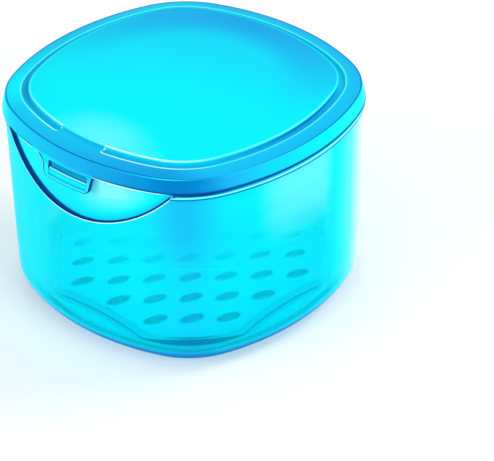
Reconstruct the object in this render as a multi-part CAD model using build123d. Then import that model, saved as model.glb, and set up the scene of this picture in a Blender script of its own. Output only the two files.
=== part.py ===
from build123d import *
import math
import os

# Denture case: a square cup with soft corners, a hinged snap lid and a lift-out strainer basket.
# Millimetres. Origin at the middle of the underside, +Z up, the latch faces -Y, the hinge is at +Y.

# ---- plan outline: a square of shallow side arcs and tight corner arcs, measured at the lid skirt
PLAN_HALF = 47.5          # middle of a side, at the skirt's lower edge
SIDE_RADIUS = 71.0        # arc of each side
CORNER_RADIUS = 28.0      # arc of each corner

# ---- cup
SHOULDER_Z = 57.8         # top of the bead that the lid skirt stands over
BEAD_HEIGHT = 1.5
BEAD_STEP = 0.45          # how far the bead stands out from the wall below it
WALL_INSET = 0.75         # wall below the bead, in from the skirt's lower edge
WALL_TAPER = 1.1          # draft of the wall, shoulder to base
WALL = 2.4
FLOOR = 2.2
BASE_FILLET = 8.0
NECK_WALL = 1.3           # thin lip that stands up inside the lid skirt
NECK_HEIGHT = 2.6

# ---- finger scoop in the front wall
SCOOP_X = 1.5             # middle of the scoop, right of the case's middle
SCOOP_RADIUS = 39.5
SCOOP_DROP = 15.2         # lowest point of the scoop, below the shoulder

# ---- lid
SKIRT_GAP = 0.4           # skirt's lower edge above the shoulder
SKIRT_HEIGHT = 4.3
SKIRT_FLARE = 1.0         # how far the skirt's top edge lies inside its lower edge
SKIRT_WALL = 1.5
RIM_FILLET = 0.8
RIM_RISE = 0.65           # rim climbs this much from its edge to the groove
GROOVE_INSET = 5.8        # groove's outer edge, in from the skirt's lower edge
GROOVE_WIDTH = 1.9
GROOVE_DEPTH = 1.0
GROOVE_GAP = 20.0         # plain stretch over the latch, where the groove stops
CROWN_STEP = 0.85         # crown's edge above the groove's outer edge
CROWN_RISE = 1.7          # middle of the crown above its edge
CROWN_FILLET = 0.5
LID_WALL = 1.8

# ---- seal
SEAL_WIDTH = 1.5
SEAL_HEIGHT = 1.2
SEAL_GRIP = 0.5           # how deep the ring sits in the lid's channel
SEAL_CLEARANCE = 0.1      # over the cup's lip, before the latch squeezes it
SEAL_SIDE_CLEARANCE = 0.05

# ---- latch tab
TAB_X = 0.8               # middle of the tab, right of the case's middle
TAB_WIDTH = 18.0
TAB_DROP = 5.5            # below the skirt's lower edge
TAB_WALL = 1.3
TAB_FLARE = 0.9           # lower bar stands this much further out than the root
TAB_SHOULDER = 5.0        # run of the flowing curve from tab to skirt, on one side
TAB_LEAN = 0.7            # how far the straight side leans out towards the skirt
TAB_CORNER = 2.0
TAB_SEAM = 0.05
WINDOW_X = 1.6            # middle of the window and the catch
WINDOW_WIDTH = 14.2
WINDOW_TOP = 0.5          # window's top edge below the skirt
WINDOW_HEIGHT = 2.1
PANEL_HEIGHT = 1.9        # sunk finger panel below the window
PANEL_DEPTH = 0.35
CATCH_SIDE_GAP = 0.5      # catch to each end of the window
CATCH_HEIGHT = 1.5
CATCH_LIFT = 0.15         # catch's lower face above the window's lower edge
CATCH_CLEARANCE = 0.2     # catch to the bar that passes in front of it

# ---- hinge
HINGE_OUT = 3.0           # pin centre behind the skirt's lower edge
HINGE_DROP = 6.0          # pin centre below the skirt's lower edge
PIN_RADIUS = 1.0
PIN_FIT = 0.05            # radial clearance in the lid's barrel
KNUCKLE_RADIUS = 2.3
BARREL_LENGTH = 16.0
EAR_WIDTH = 4.0
EAR_GAP = 0.35            # between an ear and the barrel's end
EAR_DROP = 9.0            # foot of the rib that carries an ear, below the pin
EAR_FLOOR = 0.8           # blind end of the pin hole in each ear
PIN_SHORT = 0.1           # pin's end short of the hole's blind end
STOP_ANGLE = 120.0        # lid angle at which the heel meets the cup
STOP_GAP = 0.1
HEEL_WIDTH = 1.6

# ---- strainer basket
BASKET_CLEARANCE = 0.8    # basket rim to the cup's bore
BASKET_WALL = 1.5
BASKET_FLOOR = 1.6
BASKET_SEAT = 0.05        # over the cup's floor pads
BASKET_TOP_DROP = 1.2     # basket's rim below the cup's shoulder
BASKET_BASE_INSET = 10.6  # ends of the base's sides, in from the lid skirt's lower edge
BASKET_SIDE_SAG = 1.7     # how far the middle of each side bows inward
BASKET_CUT_LEG = 20.4     # length of each leg of the cut corners
BASKET_CUT_BOW = 4.3      # how far the cut corner bows outward
BASKET_RIM_WIDTH = 1.6
BASKET_RIM_HEIGHT = 1.8
HOLE_LENGTH = 6.6
HOLE_WIDTH = 3.4
HOLE_TURN = 70.0          # degrees between a hole's long axis and the case's width
HOLE_PITCH = 7.3          # half the spacing of the staggered rows
HOLE_MARGIN = 3.4         # solid border left round the floor
LIFT_TAB_WIDTH = 16.0     # flat tabs inside the rim, to lift the basket by
LIFT_TAB_REACH = 6.5
LIFT_TAB_WALL = 1.8
LIFT_TAB_CORNER = 5.0
PAD_RADIUS = 2.5          # floor pads that hold the basket off the cup's floor
PAD_HEIGHT = 0.8
PAD_CIRCLE = 26.0

# ---- worked out
SKIRT_Z = SHOULDER_Z + SKIRT_GAP
RIM_Z = SKIRT_Z + SKIRT_HEIGHT
GROOVE_EDGE_Z = RIM_Z + RIM_RISE
CROWN_EDGE_Z = GROOVE_EDGE_Z + CROWN_STEP
CROWN_Z = CROWN_EDGE_Z + CROWN_RISE
NECK_Z = SHOULDER_Z + NECK_HEIGHT
BORE_INSET = WALL_INSET + WALL
NECK_INSET = BORE_INSET - NECK_WALL
LID_CEILING_Z = NECK_Z + SEAL_CLEARANCE + SEAL_HEIGHT - SEAL_GRIP
CROWN_INSET = GROOVE_INSET + GROOVE_WIDTH
HINGE_Y = PLAN_HALF + HINGE_OUT
HINGE_Z = SKIRT_Z - HINGE_DROP
TAB_Y = -PLAN_HALF
BASKET_TOP_Z = SHOULDER_Z - BASKET_TOP_DROP
WINDOW_LOW_Z = SKIRT_Z - WINDOW_TOP - WINDOW_HEIGHT
BASKET_EDGE_HALF = PLAN_HALF - BASKET_BASE_INSET
BASKET_CUT_START = BASKET_EDGE_HALF - BASKET_CUT_LEG


def plan_wire(inset, z):
    """Closed outline of the case, moved inward by inset, at height z."""
    side = SIDE_RADIUS - inset
    corner = CORNER_RADIUS - inset
    side_centre = SIDE_RADIUS - PLAN_HALF
    spread = SIDE_RADIUS - CORNER_RADIUS
    # the corner arc's centre lies on the diagonal, spread away from both side arcs' centres
    tilt = math.asin(side_centre * math.sin(math.radians(135)) / spread)
    corner_centre = spread * math.sin(math.radians(45) - tilt) / math.sin(math.radians(135))
    half_side = math.degrees(math.atan2(corner_centre / math.sqrt(2),
                                        side_centre + corner_centre / math.sqrt(2)))
    edges = []
    for quarter in range(4):
        turn = 90 * quarter
        side_arc = CenterArc((-side_centre, 0), side, -half_side, 2 * half_side)
        middle = corner_centre / math.sqrt(2)
        corner_arc = CenterArc((middle, middle), corner, half_side, 90 - 2 * half_side)
        edges.append(side_arc.rotate(Axis.Z, turn))
        edges.append(corner_arc.rotate(Axis.Z, turn))
    return Pos(0, 0, z) * Wire(edges)


def plan_prism(inset, low, high):
    """Straight-walled block over the plan outline."""
    return plan_loft([(inset, low), (inset, high)])


def plan_loft(stations):
    """Stack of drafted blocks through (inset, z) stations, lowest first."""
    body = None
    for (inset_a, z_a), (inset_b, z_b) in zip(stations, stations[1:]):
        wires = [plan_wire(inset_a, z_a), plan_wire(inset_b, z_b)]
        block = Solid.make_loft(wires, ruled=True)
        body = block if body is None else body.fuse(block)
    return body


def edges_near(shape, z, inset, reach=0.3):
    """Outline edges of a solid at height z that lie on the plan outline moved in by inset."""
    found = []
    radius = PLAN_HALF - inset
    for edge in shape.edges():
        box = edge.bounding_box()
        level = abs(box.min.Z - z) < 0.02 and abs(box.max.Z - z) < 0.02
        middle = edge.position_at(0.5)
        size = max(abs(middle.X), abs(middle.Y))
        diagonal = math.hypot(middle.X, middle.Y)
        on_side = abs(size - radius) < reach and min(abs(middle.X), abs(middle.Y)) < 1
        on_corner = abs(abs(middle.X) - abs(middle.Y)) < 1 and diagonal > radius + 1
        if level and (on_side or on_corner):
            found.append(edge)
    return found


def disc_x(y, z, radius, width, x=0.0):
    """Cylinder of the given width along X."""
    return Pos(x, y, z) * Rot(0, 90, 0) * Cylinder(radius, width)


def make_cup():
    """Drafted cup with bead, neck, finger scoop, catch, hinge ears and floor pads."""
    wall_low = WALL_INSET + WALL_TAPER
    bead_z = SHOULDER_Z - BEAD_HEIGHT
    outer = plan_loft([(wall_low, 0), (WALL_INSET, bead_z)])
    outer = fillet(edges_near(outer, 0, wall_low), BASE_FILLET)
    bead = plan_prism(WALL_INSET - BEAD_STEP, bead_z, SHOULDER_Z)
    outer = outer + bead + plan_prism(NECK_INSET, SHOULDER_Z, NECK_Z)
    bore_low = wall_low + WALL
    bore = plan_loft([(bore_low, FLOOR), (BORE_INSET, NECK_Z)])
    bore = fillet(edges_near(bore, FLOOR, bore_low), BASE_FILLET - WALL)
    cup = outer - bore - scoop_cutter() + catch()
    for place in pad_places():
        cup = cup + place * Cylinder(PAD_RADIUS, PAD_HEIGHT, align=(Align.CENTER, Align.CENTER, Align.MIN))
    for side in (-1, 1):
        cup = cup + hinge_ear(side) - ear_hole(side)
    return cup


def scoop_cutter():
    """Everything in front of the neck's face, inside the scoop's arc and below the shoulder."""
    depth = PLAN_HALF
    roll = Pos(SCOOP_X, -PLAN_HALF, SHOULDER_Z - SCOOP_DROP + SCOOP_RADIUS) * Rot(90, 0, 0)
    barrel = roll * Cylinder(SCOOP_RADIUS, depth)
    band = barrel - plan_prism(NECK_INSET, 0, RIM_Z)
    top = Pos(0, 0, SHOULDER_Z) * Box(4 * PLAN_HALF, 4 * PLAN_HALF, SCOOP_RADIUS * 2,
                                     align=(Align.CENTER, Align.CENTER, Align.MIN))
    return band - top


def pad_places():
    """Four low pads under the basket's floor."""
    return [Pos(0, 0, FLOOR) * Rot(0, 0, 90 * i) * Pos(PAD_CIRCLE, 0, 0) for i in range(4)]


def catch():
    """Wedge-nosed catch on the scoop's face, in the tab's window."""
    low = WINDOW_LOW_Z + CATCH_LIFT
    top = low + CATCH_HEIGHT
    width = WINDOW_WIDTH - 2 * CATCH_SIDE_GAP
    root = TAB_Y + NECK_INSET + NECK_WALL / 2
    nose_inset = tab_inner_inset(WINDOW_LOW_Z) + CATCH_CLEARANCE
    nose = TAB_Y + nose_inset
    profile = Polyline((root, top), (nose + CATCH_HEIGHT / 2, top), (nose, low + CATCH_HEIGHT / 3),
                       (nose, low), (root, low), close=True)
    face = make_face(Plane.YZ * profile)
    block = Pos(WINDOW_X - width / 2, 0, 0) * extrude(face, width, dir=(1, 0, 0))
    return block & plan_prism(nose_inset, low - CATCH_LIFT, top + CATCH_LIFT)


def tab_inner_inset(z):
    """Inset of the latch tab's inner face at height z."""
    return TAB_WALL - TAB_FLARE * (SKIRT_Z - z) / TAB_DROP


def ear_x(side):
    """Middle of a hinge ear."""
    return side * (BARREL_LENGTH / 2 + EAR_GAP + EAR_WIDTH / 2)


def hinge_ear(side):
    """Ear with a rib that runs down into the cup's back wall."""
    wall_y = PLAN_HALF - WALL_INSET - WALL / 2
    top = HINGE_Z + KNUCKLE_RADIUS
    back_y, back_z = knuckle_point(-30)
    rib = Polyline((wall_y, top), (HINGE_Y, top), (HINGE_Y, HINGE_Z), (back_y, back_z),
                   (wall_y, HINGE_Z - EAR_DROP), close=True)
    arm = extrude(make_face(Plane.YZ * rib), EAR_WIDTH, dir=(1, 0, 0))
    arm = Pos(ear_x(side) - EAR_WIDTH / 2, 0, 0) * arm
    return arm + disc_x(HINGE_Y, HINGE_Z, KNUCKLE_RADIUS, EAR_WIDTH, ear_x(side))


def knuckle_point(degrees):
    """Point of the knuckle's circle, in Y and Z, at an angle above the horizontal."""
    angle = math.radians(degrees)
    return HINGE_Y + KNUCKLE_RADIUS * math.cos(angle), HINGE_Z + KNUCKLE_RADIUS * math.sin(angle)


def pin_half():
    """Half of the pin's length."""
    return BARREL_LENGTH / 2 + EAR_GAP + EAR_WIDTH - EAR_FLOOR - PIN_SHORT


def ear_hole(side):
    """Blind hole that holds one end of the pin."""
    depth = EAR_WIDTH - EAR_FLOOR
    return disc_x(HINGE_Y, HINGE_Z, PIN_RADIUS, depth, ear_x(side) - side * EAR_FLOOR / 2)


def make_lid():
    """Snap lid: flared skirt, rim, C-shaped groove, domed crown, seal channel and hinge barrel."""
    skirt = plan_loft([(0, SKIRT_Z), (SKIRT_FLARE, RIM_Z)])
    rim = plan_loft([(SKIRT_FLARE, RIM_Z), (GROOVE_INSET, GROOVE_EDGE_Z)])
    lid = skirt + rim
    lid = fillet(edges_near(lid, RIM_Z, SKIRT_FLARE, reach=0.6), RIM_FILLET)
    lid = lid + crown()
    lid = lid - c_groove()
    lid = lid - lid_hollow() - seal_channel()
    lid = lid + hinge_barrel() - barrel_bore()
    return lid


def crown():
    """Shallow dome over the middle of the lid, with a softened edge."""
    half = PLAN_HALF - CROWN_INSET
    radius = (half**2 + CROWN_RISE**2) / (2 * CROWN_RISE)
    block = plan_prism(CROWN_INSET, RIM_Z, CROWN_Z)
    ball = Pos(0, 0, CROWN_Z - radius) * Sphere(radius)
    dome = block & ball
    top_edges = [e for e in dome.edges() if e.center().Z > GROOVE_EDGE_Z and e.length > 5]
    return fillet(top_edges, CROWN_FILLET)


def c_groove():
    """Groove between rim and crown, open at the front over the latch, with round ends."""
    low = GROOVE_EDGE_Z - GROOVE_DEPTH
    high = GROOVE_EDGE_Z + CROWN_STEP
    ring = plan_prism(GROOVE_INSET, low, high) - plan_prism(CROWN_INSET, low, high)
    gap = Pos(0, -PLAN_HALF, 0) * Box(GROOVE_GAP, PLAN_HALF, 4 * RIM_Z)
    ring = ring - gap
    end_y = -(PLAN_HALF - GROOVE_INSET - GROOVE_WIDTH / 2)
    lift = (GROOVE_GAP / 2) ** 2 / (2 * SIDE_RADIUS)
    for side in (-1, 1):
        spot = Pos(side * GROOVE_GAP / 2, end_y + lift, low)
        ring = ring + spot * Cylinder(GROOVE_WIDTH / 2, high - low,
                                      align=(Align.CENTER, Align.CENTER, Align.MIN))
    return ring


def lid_hollow():
    """Inside of the lid: the bore round the cup's neck and the hollow under the crown."""
    low = plan_prism(SKIRT_WALL, SKIRT_Z - 1, LID_CEILING_Z)
    high_inset = CROWN_INSET + LID_WALL
    high = plan_loft([(high_inset - LID_WALL / 2, LID_CEILING_Z - 1), (high_inset, CROWN_EDGE_Z - LID_WALL)])
    return low + high


def seal_middle():
    """Inset of the middle of the cup's lip, where the seal sits."""
    return (NECK_INSET + BORE_INSET) / 2


def seal_channel():
    """Channel in the lid's underside that grips the seal."""
    outer = seal_middle() - SEAL_WIDTH / 2 - SEAL_SIDE_CLEARANCE
    inner = seal_middle() + SEAL_WIDTH / 2 + SEAL_SIDE_CLEARANCE
    high = LID_CEILING_Z + SEAL_GRIP
    return plan_prism(outer, LID_CEILING_Z - 1, high) - plan_prism(inner, LID_CEILING_Z - 1, high)


def hinge_barrel():
    """Barrel that hangs from the lid's back skirt, with the heel that stops the lid."""
    barrel = disc_x(HINGE_Y, HINGE_Z, KNUCKLE_RADIUS, BARREL_LENGTH)
    root_y = PLAN_HALF - SKIRT_WALL / 2 - SKIRT_FLARE / 2
    back_y, back_z = knuckle_point(30)
    web = Polyline((root_y, SKIRT_Z), (HINGE_Y - KNUCKLE_RADIUS, SKIRT_Z),
                   (HINGE_Y - KNUCKLE_RADIUS, HINGE_Z), (HINGE_Y, HINGE_Z), (back_y, back_z),
                   (root_y, RIM_Z - RIM_FILLET), close=True)
    arm = extrude(make_face(Plane.YZ * web), BARREL_LENGTH, dir=(1, 0, 0))
    arm = Pos(-BARREL_LENGTH / 2, 0, 0) * arm
    reach = HINGE_OUT + WALL_INSET - STOP_GAP
    heel = Pos(0, HINGE_Y, HINGE_Z) * Rot(STOP_ANGLE, 0, 0) * Pos(0, -reach / 2, 0)
    heel = heel * Box(BARREL_LENGTH, reach, HEEL_WIDTH)
    return barrel + arm + heel


def barrel_bore():
    """Through bore of the barrel."""
    return disc_x(HINGE_Y, HINGE_Z, PIN_RADIUS + PIN_FIT, BARREL_LENGTH + EAR_GAP)


def make_hinge_pin():
    """Plain pin, held by both ears, with chamfered ends."""
    pin = disc_x(HINGE_Y, HINGE_Z, PIN_RADIUS, 2 * pin_half())
    ends = [e for e in pin.edges() if e.geom_type == GeomType.CIRCLE]
    return chamfer(ends, PIN_RADIUS / 5)


def make_lid_seal():
    """Soft ring between the lid and the cup's lip."""
    low = NECK_Z + SEAL_CLEARANCE
    outer = plan_prism(seal_middle() - SEAL_WIDTH / 2, low, low + SEAL_HEIGHT)
    return outer - plan_prism(seal_middle() + SEAL_WIDTH / 2, low - 1, low + SEAL_HEIGHT + 1)


def tab_outline():
    """Front view of the latch tab: one flowing side, one straight side, round lower corners."""
    top = SKIRT_Z - TAB_SEAM
    low = SKIRT_Z - TAB_DROP
    half = TAB_WIDTH / 2
    bend = TAB_DROP / 2
    sweep = Spline((-half - TAB_SHOULDER, top), (-half, low + bend),
                   tangents=((1, -0.15), (0.18, -1)))
    path = [
        sweep,
        Line((-half, low + bend), (-half, low + TAB_CORNER)),
        RadiusArc((-half, low + TAB_CORNER), (-half + TAB_CORNER, low), TAB_CORNER),
        Line((-half + TAB_CORNER, low), (half - TAB_CORNER, low)),
        RadiusArc((half - TAB_CORNER, low), (half, low + TAB_CORNER), TAB_CORNER),
        Line((half, low + TAB_CORNER), (half + TAB_LEAN, top)),
        Line((half + TAB_LEAN, top), (-half - TAB_SHOULDER, top)),
    ]
    return Pos(TAB_X, 0, 0) * make_face(Plane.XZ * Wire(path))


def make_latch_tab():
    """Flexing tab: the window that takes the catch, a sunk finger panel and a flared lower bar."""
    block = extrude(tab_outline(), 2 * PLAN_HALF, dir=(0, -1, 0))
    tab = block & tab_shell(0, TAB_WALL)
    window = Pos(WINDOW_X, TAB_Y, WINDOW_LOW_Z + WINDOW_HEIGHT / 2)
    window = window * Box(WINDOW_WIDTH, 6 * TAB_WALL, WINDOW_HEIGHT)
    panel = Pos(WINDOW_X, TAB_Y, WINDOW_LOW_Z - PANEL_HEIGHT / 2)
    panel = panel * Box(WINDOW_WIDTH, 6 * TAB_WALL, PANEL_HEIGHT)
    return tab - window - (panel & tab_shell(-TAB_WALL, PANEL_DEPTH))


def tab_shell(front, back):
    """Curved band that carries on the skirt downward and flares out, between two insets."""
    low = SKIRT_Z - TAB_DROP - TAB_WALL
    flare = TAB_FLARE * (TAB_DROP + TAB_WALL) / TAB_DROP
    outer = plan_loft([(front - flare, low), (front, SKIRT_Z)])
    inner = plan_loft([(back - flare, low), (back, SKIRT_Z)])
    return outer - inner


def octagon_wire(half, side_bow, cut, cut_bow, z):
    """Eight-sided outline with bowed sides; corner points lie at (cut, half) in each eighth."""
    edges = []
    corner_mid = (half + cut) / 2 + cut_bow / math.sqrt(2)
    for quarter in range(4):
        side = ThreePointArc((half, -cut, z), (half + side_bow, 0, z), (half, cut, z))
        corner = ThreePointArc((half, cut, z), (corner_mid, corner_mid, z), (cut, half, z))
        edges.append(side.rotate(Axis.Z, 90 * quarter))
        edges.append(corner.rotate(Axis.Z, 90 * quarter))
    return Wire(edges)


def bore_inset(z):
    """Inset of the cup's bore at height z."""
    return BORE_INSET + WALL_TAPER * (NECK_Z - z) / (NECK_Z - FLOOR)


def basket_top_inset():
    """Inset of the basket's outer wall at its rim."""
    return bore_inset(BASKET_TOP_Z - BASKET_RIM_HEIGHT) + BASKET_CLEARANCE + BASKET_RIM_WIDTH


def basket_block(inset, low, high):
    """Lofted basket form: cut-cornered base that swells into the rounded plan."""
    base = octagon_wire(BASKET_EDGE_HALF - inset, -BASKET_SIDE_SAG, BASKET_CUT_START, BASKET_CUT_BOW, low)
    top = plan_wire(basket_top_inset() + inset, high)
    return Solid.make_loft([base, top], ruled=False)


def make_basket():
    """Strainer basket with a pierced floor, a rim and two lifting tabs."""
    low = FLOOR + PAD_HEIGHT + BASKET_SEAT
    outer = basket_block(0, low, BASKET_TOP_Z)
    inner = basket_block(BASKET_WALL, low, BASKET_TOP_Z)
    floor_block = Pos(0, 0, low) * Box(4 * PLAN_HALF, 4 * PLAN_HALF, BASKET_FLOOR,
                                       align=(Align.CENTER, Align.CENTER, Align.MIN))
    basket = outer - (inner - floor_block)
    rim_inset = basket_top_inset()
    rim = plan_prism(rim_inset - BASKET_RIM_WIDTH, BASKET_TOP_Z - BASKET_RIM_HEIGHT, BASKET_TOP_Z)
    rim = rim - plan_prism(rim_inset + BASKET_WALL, 0, RIM_Z)
    basket = basket + rim
    for side in (-1, 1):
        basket = basket + lift_tab(side)
    return basket - floor_holes(low)


def lift_tab(side):
    """Flat round-cornered tab that reaches inward from the rim."""
    outer = PLAN_HALF - basket_top_inset() + BASKET_RIM_WIDTH / 2
    length = LIFT_TAB_REACH + BASKET_WALL + BASKET_RIM_WIDTH / 2
    plate = Pos(side * (outer - length / 2), 0, BASKET_TOP_Z) * Box(
        length, LIFT_TAB_WIDTH, LIFT_TAB_WALL, align=(Align.CENTER, Align.CENTER, Align.MAX))
    inner = side * (outer - length)
    corners = [e for e in plate.edges().filter_by(Axis.Z) if abs(e.center().X - inner) < LIFT_TAB_WALL]
    return fillet(corners, LIFT_TAB_CORNER)


def floor_holes(low):
    """Staggered oval holes all over the basket's floor."""
    count = int(PLAN_HALF / HOLE_PITCH)
    slots = []
    for i in range(-count, count + 1):
        for j in range(-count, count + 1):
            x = HOLE_PITCH * i
            y = HOLE_PITCH * j
            if (i + j) % 2 == 0 and hole_fits(x, y):
                slots.append(Pos(x, y) * Rot(0, 0, HOLE_TURN) * Ellipse(HOLE_LENGTH / 2, HOLE_WIDTH / 2))
    return Pos(0, 0, low - 1) * extrude(Sketch() + slots, BASKET_FLOOR + 2)


def hole_fits(x, y):
    """True where a hole leaves the border of the basket's floor whole."""
    edge = BASKET_EDGE_HALF - BASKET_SIDE_SAG - BASKET_WALL - HOLE_MARGIN
    cut_line = (BASKET_EDGE_HALF + BASKET_CUT_START - (BASKET_WALL + HOLE_MARGIN) * math.sqrt(2))
    return max(abs(x), abs(y)) < edge and abs(x) + abs(y) < cut_line


def save(node, shape):
    """Write one node and print its size."""
    solids = shape.solids()
    shape = solids[0] if len(solids) == 1 else Compound(solids)
    shape.label = node
    export_step(shape, "parts/" + node + ".step")
    box = shape.bounding_box()
    print(node, len(solids), round(shape.volume), box.min, box.max)


def main():
    os.makedirs("parts", exist_ok=True)
    save("case_body", make_cup())
    save("lid", make_lid())
    save("latch_tab", make_latch_tab())
    save("hinge_pin", make_hinge_pin())
    save("lid_seal", make_lid_seal())
    save("strainer_basket", make_basket())


main()
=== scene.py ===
import bmesh
import bpy
import math
from functools import partial
from mathutils import Matrix, Vector


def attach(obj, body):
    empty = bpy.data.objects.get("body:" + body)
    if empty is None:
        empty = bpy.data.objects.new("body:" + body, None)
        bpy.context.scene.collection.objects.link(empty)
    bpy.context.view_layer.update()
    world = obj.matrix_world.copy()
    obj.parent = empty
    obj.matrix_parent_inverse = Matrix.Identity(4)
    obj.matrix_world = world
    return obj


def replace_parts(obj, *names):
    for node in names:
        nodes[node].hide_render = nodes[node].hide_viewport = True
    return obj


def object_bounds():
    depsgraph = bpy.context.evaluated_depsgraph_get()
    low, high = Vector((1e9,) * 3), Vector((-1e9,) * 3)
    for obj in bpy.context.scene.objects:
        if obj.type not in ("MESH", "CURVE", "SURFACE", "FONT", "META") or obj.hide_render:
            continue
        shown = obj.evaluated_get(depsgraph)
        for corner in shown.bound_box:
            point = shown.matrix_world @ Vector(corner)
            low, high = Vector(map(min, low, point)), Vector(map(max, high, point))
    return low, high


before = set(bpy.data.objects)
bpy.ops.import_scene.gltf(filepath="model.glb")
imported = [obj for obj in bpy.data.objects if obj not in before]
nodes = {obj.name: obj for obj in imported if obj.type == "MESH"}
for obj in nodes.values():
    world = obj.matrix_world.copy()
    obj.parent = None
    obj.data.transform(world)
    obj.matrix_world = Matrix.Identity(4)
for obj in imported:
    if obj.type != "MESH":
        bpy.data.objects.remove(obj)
cad_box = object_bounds()
MM = 0.001

# ---- camera; spots are in metres
VIEW_AZIMUTH = math.radians(43.03)
VIEW_ELEVATION = math.radians(33.15)
VIEW_ROLL = math.radians(-0.98)
CAMERA_SPOT = Vector((0.445157, -0.451982, 0.427839))
SENSOR = 36.0
LENS = 190.36

# ---- light
WORLD_GLOW = 0.62
FLOOR_HALF = 3.0          # metres
FLOOR_DROP = 0.1          # millimetres under the case
FLOOR_WHITE = 0.93
FLOOR_LIFT = 0.13         # own glow of the floor, as it is seen
LIGHT_PASS = 0.4          # share of a lamp's light that goes through solid plastic
GLOW_PASS = 0.5           # share of scattered light that goes through it
CASE_MIDDLE = (0, 0, 0.03)
LAMPS = (                 # name, spot, size, watts, what it points at, tint
    ("left_light", (-0.25, -0.95, 0.45), 0.6, 3.8, CASE_MIDDLE, (1, 1, 1)),
    ("right_light", (0.95, -0.1, 0.45), 0.6, 3.0, CASE_MIDDLE, (1, 1, 1)),
    ("back_light", (0.3, 0.55, 0.7), 0.35, 2.3, CASE_MIDDLE, (1, 1, 1)),
    ("inner_glow", (0, 0, 0.035), 0.05, 0.017, (0, 0, 0), (0, 0.85, 1)),
)

# ---- plan outline of the case, in millimetres, at the lid skirt's lower edge
PLAN_HALF = (cad_box[1].x - cad_box[0].x) / 2 / MM
SIDE_RADIUS = 71.0
CORNER_RADIUS = 28.0

# ---- cup
SHOULDER_Z = 57.8
BEAD_HEIGHT = 1.5
BEAD_INSET = 0.3
WALL_INSET = 0.75
WALL_TAPER = 1.1
WALL = 2.4
FLOOR = 2.2
BASE_FILLET = 8.0
NECK_INSET = 1.85
NECK_Z = 60.4
BORE_INSET = WALL_INSET + WALL
SCOOP_X = 1.5
SCOOP_RADIUS = 39.5
SCOOP_DROP = 15.2
SCOOP_HALF = math.sqrt(SCOOP_RADIUS**2 - (SCOOP_RADIUS - SCOOP_DROP) ** 2)

# ---- lid
SKIRT_Z = 58.2
SKIRT_FLARE = 1.0
SKIRT_WALL = 1.5
RIM_Z = 62.5
GROOVE_EDGE_Z = 63.15
GROOVE_INSET = 5.8
GROOVE_WIDTH = 1.9
GROOVE_DEPTH = 1.0
GROOVE_GAP_HALF = 10.0
CROWN_INSET = GROOVE_INSET + GROOVE_WIDTH
CROWN_EDGE_Z = 64.0
CROWN_RISE = 1.7
CROWN_LEDGE = 2.2         # between the crown's edge and its dome
CEILING_Z = 61.2
HOLLOW_INSET = 8.6
HOLLOW_Z = 62.2

# ---- latch tab
TAB_X = 0.8
TAB_HALF = 9.0
TAB_TOP_Z = 58.15
TAB_LOW_Z = 52.7
TAB_WALL = 1.3
TAB_FLARE = 0.9
TAB_SHOULDER = 5.0
TAB_LEAN = 0.7
TAB_CORNER = 2.0
WINDOW_X = 1.6
WINDOW_HALF = 7.1
WINDOW_TOP_Z = 57.7
WINDOW_LOW_Z = 55.6
PANEL_LOW_Z = 53.7
PANEL_DEPTH = 0.35

# ---- strainer basket
BASKET_BASE_Z = 3.05
BASKET_FLOOR_TOP = 4.65
# Where the painted shade of the drain holes lies: their lattice, size, turn and reach, and how soft and
# strong it is row by row.
HOLE_PITCH = 7.3
HOLE_LENGTH = 6.6
HOLE_WIDTH = 3.4
HOLE_TURN = math.radians(70)
HOLES_REACH = 30.3
HOLES_CUT = 46.4
HOLE_SOFT = 0.22          # width of a hole's soft edge, as a share of its half size
ROW_MIDDLE = 0.16         # strength of the holes' shade in the middle row
ROW_FADE = 0.47           # and how much stronger it is in each row before it
# Painted shade at the basket's foot: a lens at each cut corner and a fainter border line.
LENS_HALF = 20.0
LENS_HEIGHT = 1.9
FOOT_LINE = 1.0
FOOT_SHADE = 0.95
BORDER_SHADE = 0.35

# ---- hinge and catch
HINGE_Y = 50.5
HINGE_Z = 52.2
KNUCKLE_RADIUS = 2.3
PIN_RADIUS = 1.0
PIN_FIT = 0.05
BARREL_HALF = 8.0
EAR_GAP = 0.35
EAR_WIDTH = 4.0
EAR_DROP = 9.0
STOP_ANGLE = 120.0
HEEL_WIDTH = 1.6
HEEL_REACH = 3.65
CATCH_HEIGHT = 1.5
CATCH_CLEARANCE = 0.2
CATCH_SIDE_GAP = 0.5

# ---- painted highlight on the crown: a pale patch
HIGHLIGHT_X = 7.0
HIGHLIGHT_Y = -46.0

# ---- mesh density
SIDE_STEPS = 56
CORNER_STEPS = 28
ROUND_STEPS = 4
CAP_STEPS = 26
FILLET_STEPS = 16
BAR_STEPS = 24
KNUCKLE_STEPS = 18
BORE_STEPS = 32


# =============================================================== shader nodes
def put(tree, kind, **values):
    """New shader node with its settings and plain inputs."""
    node = tree.nodes.new(kind)
    for key, value in values.items():
        if hasattr(node, key):
            setattr(node, key, value)
        else:
            node.inputs[key.replace("_", " ")].default_value = value
    return node


def math_node(tree, operation, *values, clamp=False):
    """Math node on sockets or plain numbers; returns its output."""
    node = put(tree, "ShaderNodeMath", operation=operation, use_clamp=clamp)
    for place, value in zip(node.inputs, values):
        if isinstance(value, (int, float)):
            place.default_value = value
        else:
            tree.links.new(value, place)
    return node.outputs[0]


def ramp(tree, stops, source, blend="LINEAR"):
    """Colour ramp from (place, colour) stops, fed by a socket."""
    node = tree.nodes.new("ShaderNodeValToRGB")
    node.color_ramp.interpolation = blend
    while len(node.color_ramp.elements) < len(stops):
        node.color_ramp.elements.new(0.5)
    for element, (place, color) in zip(node.color_ramp.elements, stops):
        element.position = place
        element.color = (*color, 1)
    tree.links.new(source, node.inputs["Fac"])
    return node.outputs["Color"]


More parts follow.
